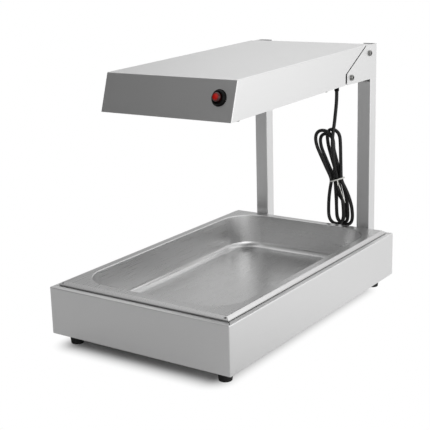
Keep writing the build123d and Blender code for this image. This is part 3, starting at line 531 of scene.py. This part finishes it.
def heating_coils():
    """A coil in each tube."""
    coil = wound_coil()
    for side, x in (("left", -45), ("right", 45)):
        double = copy_of(coil, "wound_coil_" + side)
        settle(double, hood @ Matrix.Translation(Vector((x, -396, 20)) * mm)
               @ Matrix.Rotation(-pi / 2, 4, "X"))
        finish_piece(double, "resistance_wire", "warmer", "heating_coil_" + side)
    bpy.data.objects.remove(coil)


heating_coils()


# Cord gland with its ribbed sleeve, and the plug

tail_end = (-12.57, 290.33, 19.01)


def sleeve_ribs(start, pitch, narrowest, growth, rib, groove):
    """Rings of a strain relief's six ribs, each a little wider than the one before."""
    rings = []
    for step in range(6):
        low = start + pitch * step
        wide = narrowest + growth * step
        narrow = wide - groove
        rings += [(wide, low), (wide, low + rib), (narrow, low + rib + 0.4), (narrow, low + rib + 1.4)]
    return rings


def cord_gland():
    """The gland in the hood, with its sleeve around the lead."""
    rings = [(4.0, -28), (4.3, -27.5), *sleeve_ribs(-26.5, 4.0, 4.5, 0.38, 2.2, 0.6)]
    rings += [(7.0, -2.4), (8.6, -1.8), (9.0, -1.4), (9.0, 1.2), (7.0, 1.2), (7.0, 11.8), (6.6, 12.2),
              (3.56, 12.2), (3.56, -28)]
    gland = turned("ribbed_cord_gland", rings, 32, bored=True)
    settle(gland, hood @ Matrix.Translation(Vector((59, 3, 0)) * mm))
    finish_piece(gland, "black_plastic", "warmer", "cord_gland")


def mains_plug():
    """The plug's body: a ribbed sleeve, a flared shoulder and a grip with four grooves."""
    rings = [(3.9, 0), (4.7, 0.5), *sleeve_ribs(1.5, 3.8, 5.0, 0.4, 2.0, 0.7)]
    rings += [(7.0, 25), (9.5, 25.6), (13.0, 27.4), (16.2, 30.4), (18.2, 34.0), (19.0, 38.0)]
    for step in range(4):
        low = 40.0 + 3.2 * step
        rings += [(19.0, low), (18.3, low + 0.5), (18.3, low + 1.7), (19.0, low + 2.2)]
    rings += [(19.0, 59.8), (18.7, 60.6), (18.0, 61.0)]
    body = turned("moulded_plug", rings, 48)
    settle(body, Matrix.Translation(Vector(tail_end) * mm) @ Matrix.Rotation(-pi / 2, 4, "Y"))
    return finish_piece(body, "black_plastic", "warmer", "plug_body")


cord_gland()
plug = mains_plug()


# Twist tie around the hank: a flat band and its twisted ends

tie_centre = Vector((54.6, 270.7, 188.3)) * mm
tie_slant = radians(19.6)
tie_half = (16.0, 10.5)
tie_width = 2.6
# Each twisted end's length, its turns and the way it points
tie_ends = [(46, 2.0, (18.6, -1.0, -43.7)), (11, 0.8, (3.0, -2.4, -10))]


def tie_band():
    """The flat band, an oval around the strands."""
    bpy.ops.object.select_all(action="DESELECT")
    bpy.ops.mesh.primitive_circle_add(vertices=48, radius=1 * mm, location=(0, 0, -tie_width / 2 * mm))
    band = bpy.context.object
    apply_place()
    edit_all()
    bpy.ops.transform.resize(value=(*tie_half, 1), center_override=(0, 0, 0))
    bpy.ops.mesh.extrude_region_move(TRANSFORM_OT_translate={"value": (0, 0, tie_width * mm)})
    close_edit()
    apply_modifier(band, "SOLIDIFY", thickness=1.0 * mm, offset=-1)
    apply_modifier(band, "BEVEL", width=0.3 * mm, segments=2, limit_method="ANGLE")
    settle(band, Matrix.Translation(tie_centre) @ Matrix.Rotation(-tie_slant, 4, "Y"))
    return band


def tie_end(length, turns):
    """A strip along Z, twisted about its own length."""
    bpy.ops.object.select_all(action="DESELECT")
    bpy.ops.mesh.primitive_cube_add(size=1 * mm, location=(0, 0, length / 2 * mm))
    strip = bpy.context.object
    apply_place()
    edit_all()
    bpy.ops.transform.resize(value=(1.8, 0.9, length), center_override=(0, 0, length / 2 * mm))
    choose(strip, "EDGE", lambda middle, way: abs(way.z) > 0.9)
    bpy.ops.mesh.subdivide(number_cuts=28)
    bpy.ops.object.mode_set(mode="OBJECT")
    apply_modifier(strip, "BEVEL", width=0.2 * mm, segments=1, limit_method="ANGLE")
    apply_modifier(strip, "SIMPLE_DEFORM", deform_method="TWIST", deform_axis="Z", angle=2 * pi * turns)
    return strip


def twist_tie():
    """The band and its two ends, which leave the knot at the band's front."""
    band = tie_band()
    ends = []
    knot = tie_centre + Vector((5.0, -10.4, 1.4)) * mm
    for reach, turns, way in tie_ends:
        strip = tie_end(reach, turns)
        facing = Vector(way).to_track_quat("Z", "Y").to_matrix().to_4x4()
        settle(strip, Matrix.Translation(knot) @ facing)
        ends.append(strip)
    return finish_piece(join([band, *ends], "twist_tie"), "white_nylon", "warmer", "cord_tie", angle=50)


tie = twist_tie()


# Mains lead: out of the gland, into the hank, three turns through the tie, then down to the plug

cord_diameter = 6.6 * mm
hank_top = Vector((51.5, 263.73, 284.29)) * mm
hank_lean = 0.073
drop_route = [
    (59.0, 258.23, 359.29),
    (59.0, 258.65, 343.29),
    (54.8, 261.53, 317.29),
    (51.5, 263.73, 297.29),
]
tail_route = [
    (58.0, 277.33, 98.29),
    (58.0, 277.33, 73.16),
    (51.50, 281.33, 48.88),
    (35.34, 286.33, 29.63),
    (12.57, 290.33, 19.01),
    tail_end,
]
# The hank's first and last strands, as x, z and layer
hank_start = [(51.3, 284.3, -4.0), (51.4, 268.0, -9.0), (51.8, 246.0, -10.5), (54.0, 216.0, -8.5)]
hank_end = [(52.0, 165.0, 1.0), (66.0, 140.0, 6.0), (68.0, 118.0, 5.5)]
# Where the seven strands pass the tie: sideways from its middle, and in front of it or behind it
tie_front = -3.4
tie_rear = 3.4
tie_places = [(3.4, tie_front), (-9.8, tie_front), (7.0, tie_rear), (0.0, tie_rear), (9.8, tie_front),
              (-7.0, tie_rear), (-3.4, tie_front)]
# Loops of the hank in the order that the lead runs through them. Each has the x of its two limbs where
# they are widest, the x of its end, the z of the end and of the widest place, and its limbs' layers.
hank_loops = [
    (69.0, 34.8, 49.5, 99.8, 134.0, -6.0, -2.0),
    (14.0, 47.5, 27.0, 282.6, 255.0, -5.0, 0.0),
    (73.5, 48.0, 60.5, 101.5, 134.0, 3.0, 5.5),
    (34.0, 62.5, 44.5, 285.0, 256.0, 5.0, 2.0),
    (85.5, 50.5, 69.5, 99.6, 134.0, -2.0, 1.0),
    (18.0, 46.0, 29.5, 274.5, 250.0, 6.0, 6.0),
]
# How far a limb bows out between the tie and its widest place, below the tie and above it
bow_below = 0.14
bow_above = 0.02
# A loop's end is half an octagon, which the curve rounds: its corners as shares of the half width
corner_share = 0.414
shoulder_share = 0.586


def hank_point(x, z, layer):
    """A point of the hank in millimetres, set off from its leaning middle plane."""
    return (x, hank_top.y / mm + hank_lean * (hank_top.z / mm - z) + layer, z)


def hank_loop(loop, out_place, back_place):
    """One loop of the hank: from the tie along a limb, round the end and back along the other limb."""
    first, last, end_x, end_z, wide_z, out_layer, back_layer = loop
    tie_x = tie_centre.x / mm
    tie_z = tie_centre.z / mm
    below = end_z < tie_z
    bow = bow_below if below else bow_above
    middle_layer = (out_layer + back_layer) / 2
    half = abs(first - last) / 2
    middle = (first + last) / 2
    lean = end_x - middle
    side = corner_share * (first - middle)
    shoulder_z = end_z + shoulder_share * half * (1 if below else -1)

    def limb(place, widest, layer, share):
        """A point on a limb, a share of the way from the tie to its widest place."""
        x = tie_x + place[0] + (widest - tie_x - place[0]) * (share + bow)
        return (x, tie_z + (wide_z - tie_z) * share, place[1] + (layer - place[1]) * share)

    points = [limb(out_place, first, out_layer, share) for share in (0.3, 0.65)]
    points.append((first, wide_z, out_layer))
    points.append((first + lean * 0.2, shoulder_z, out_layer))
    points.append((middle + lean * 0.6 + side, end_z, (out_layer + middle_layer) / 2))
    points.append((middle + lean * 0.6 - side, end_z, (back_layer + middle_layer) / 2))
    points.append((last + lean * 0.2, shoulder_z, back_layer))
    points.append((last, wide_z, back_layer))
    points += [limb(back_place, last, back_layer, share) for share in (0.65, 0.3)]
    return [hank_point(*point) for point in points]


def tie_point(place):
    """Where a strand passes the tie."""
    return hank_point(tie_centre.x / mm + place[0], tie_centre.z / mm, place[1])


def hank_route():
    """All the turns of the hank, from the drop's end to the tail's start."""
    route = [hank_point(*point) for point in hank_start]
    for loop, out_place, back_place in zip(hank_loops, tie_places, tie_places[1:]):
        route.append(tie_point(out_place))
        route += hank_loop(loop, out_place, back_place)
    route.append(tie_point(tie_places[-1]))
    route += [hank_point(*point) for point in hank_end]
    return route


def mains_lead():
    """The lead as one smooth curve with a round section."""
    points = [*drop_route, *hank_route(), *tail_route]
    curve = bpy.data.curves.new("mains_lead", "CURVE")
    curve.dimensions = "3D"
    spline = curve.splines.new("NURBS")
    spline.points.add(len(points) - 1)
    for point, place in zip(spline.points, points):
        point.co = (*[value * mm for value in place], 1.0)
    spline.order_u = 3
    spline.use_endpoint_u = True
    spline.resolution_u = 6
    curve.bevel_depth = cord_diameter / 2
    curve.bevel_resolution = 5
    curve.use_fill_caps = True
    lead = bpy.data.objects.new("mains_lead", curve)
    bpy.context.collection.objects.link(lead)
    curve.materials.append(materials["cord_sheath"])
    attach(lead, "warmer")
    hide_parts("power_cord_drop", "power_cord_hank", "power_cord_tail")


mains_lead()


# Studio: a white floor, softboxes above and to the right, and a dim corner at the front left

bright_way = Vector((0.6, 0.8, 0.0))
shadow_middle = (-0.005, -0.035, 0)
shadow_half = (0.13, 0.23, 0)
shadow_fade = 0.05
world_way = (0.9, 0.27, 0.72)
lamp_target = (0, 0, 0.1)


def studio_floor():
    """White paper. It shows the object's shadow under the base, and past that the white of the backdrop."""
    bpy.ops.object.select_all(action="DESELECT")
    bpy.ops.mesh.primitive_plane_add(size=12)
    floor = bpy.context.object
    floor.name = "studio_floor"
    material, tree, output = new_material("white_paper")
    paper = add(tree, "ShaderNodeBsdfPrincipled", {
        "Base Color": linear("cccccc"), "Roughness": 0.9, "Specular IOR Level": 0.0})
    backdrop = add(tree, "ShaderNodeEmission", {"Color": (1, 1, 1, 1), "Strength": 1.0})
    place = add(tree, "ShaderNodeTexCoord").outputs["Object"]
    sideways = vector_maths(tree, "ABSOLUTE", vector_maths(tree, "SUBTRACT", place, shadow_middle))
    past_shadow = vector_maths(tree, "SUBTRACT", sideways, shadow_half)
    away = vector_maths(tree, "LENGTH", vector_maths(tree, "MAXIMUM", past_shadow, (0, 0, 0)))
    white = ranged(tree, away, 0.0, shadow_fade, interpolation_type="SMOOTHSTEP")
    along = vector_maths(tree, "DOT_PRODUCT", place, bright_way)
    bright = ranged(tree, along, -0.3, 0.35, interpolation_type="SMOOTHSTEP")
    rays = add(tree, "ShaderNodeLightPath").outputs
    shiny = maths(tree, "MAXIMUM", rays["Is Glossy Ray"], rays["Is Transmission Ray"])
    mirrored = maths(tree, "MULTIPLY", shiny, bright)
    seen = maths(tree, "MAXIMUM", rays["Is Camera Ray"], mirrored)
    share = maths(tree, "MULTIPLY", seen, white)
    both = add(tree, "ShaderNodeMixShader", {
        0: share, 1: paper.outputs["BSDF"], 2: backdrop.outputs["Emission"]})
    tree.links.new(both.outputs["Shader"], output.inputs["Surface"])
    floor.data.materials.append(material)


def studio_world():
    """White backdrop for the camera. Shine shows it too, except towards the dim corner of the room."""
    world = bpy.data.worlds.new("studio")
    bpy.context.scene.world = world
    world.use_nodes = True
    tree = world.node_tree
    tree.nodes.clear()
    direction = add(tree, "ShaderNodeTexCoord").outputs["Generated"]
    toward = vector_maths(tree, "DOT_PRODUCT", direction, world_way)
    level = ranged(tree, toward, -0.7, 0.5, 0.03, 0.9, interpolation_type="SMOOTHSTEP")
    seen = add(tree, "ShaderNodeLightPath").outputs["Is Camera Ray"]
    strength = maths(tree, "MAXIMUM", seen, level)
    backdrop = add(tree, "ShaderNodeBackground", {"Color": (1, 1, 1, 1), "Strength": strength})
    add(tree, "ShaderNodeOutputWorld", {"Surface": backdrop.outputs["Background"]})


def studio_lamp(name, place, size, energy):
    """A softbox that looks at the object."""
    lamp = bpy.data.lights.new(name, "AREA")
    lamp.shape = "RECTANGLE"
    lamp.size, lamp.size_y = size
    lamp.energy = energy
    holder = bpy.data.objects.new(name, lamp)
    holder.location = place
    holder.rotation_euler = (Vector(lamp_target) - Vector(place)).to_track_quat("-Z", "Y").to_euler()
    bpy.context.collection.objects.link(holder)


def studio_camera():
    """The photograph's viewing angle."""
    azimuth = radians(34.619)
    elevation = radians(14.905)
    roll = radians(-1.582)
    camera = bpy.data.cameras.new("photo_view")
    camera.sensor_width = 36
    camera.lens = 85.40
    holder = bpy.data.objects.new("photo_view", camera)
    place = Vector((0.9395, -1.42558, 0.62999))
    turn = Euler((pi / 2 - elevation, 0, azimuth)).to_matrix().to_4x4()
    holder.matrix_world = Matrix.Translation(place) @ turn @ Matrix.Rotation(roll, 4, "Z")
    bpy.context.collection.objects.link(holder)
    bpy.context.scene.camera = holder


studio_floor()
studio_world()
studio_lamp("overhead_softbox", (0.1, 0.9, 1.9), (3.4, 2.2), 15)
studio_lamp("right_softbox", (1.8, 0.8, 0.45), (2.4, 0.8), 5.5)
studio_lamp("front_right_softbox", (1.5, -1.0, 0.78), (1.5, 1.0), 6)
studio_camera()
bpy.context.scene.view_settings.view_transform = "Standard"
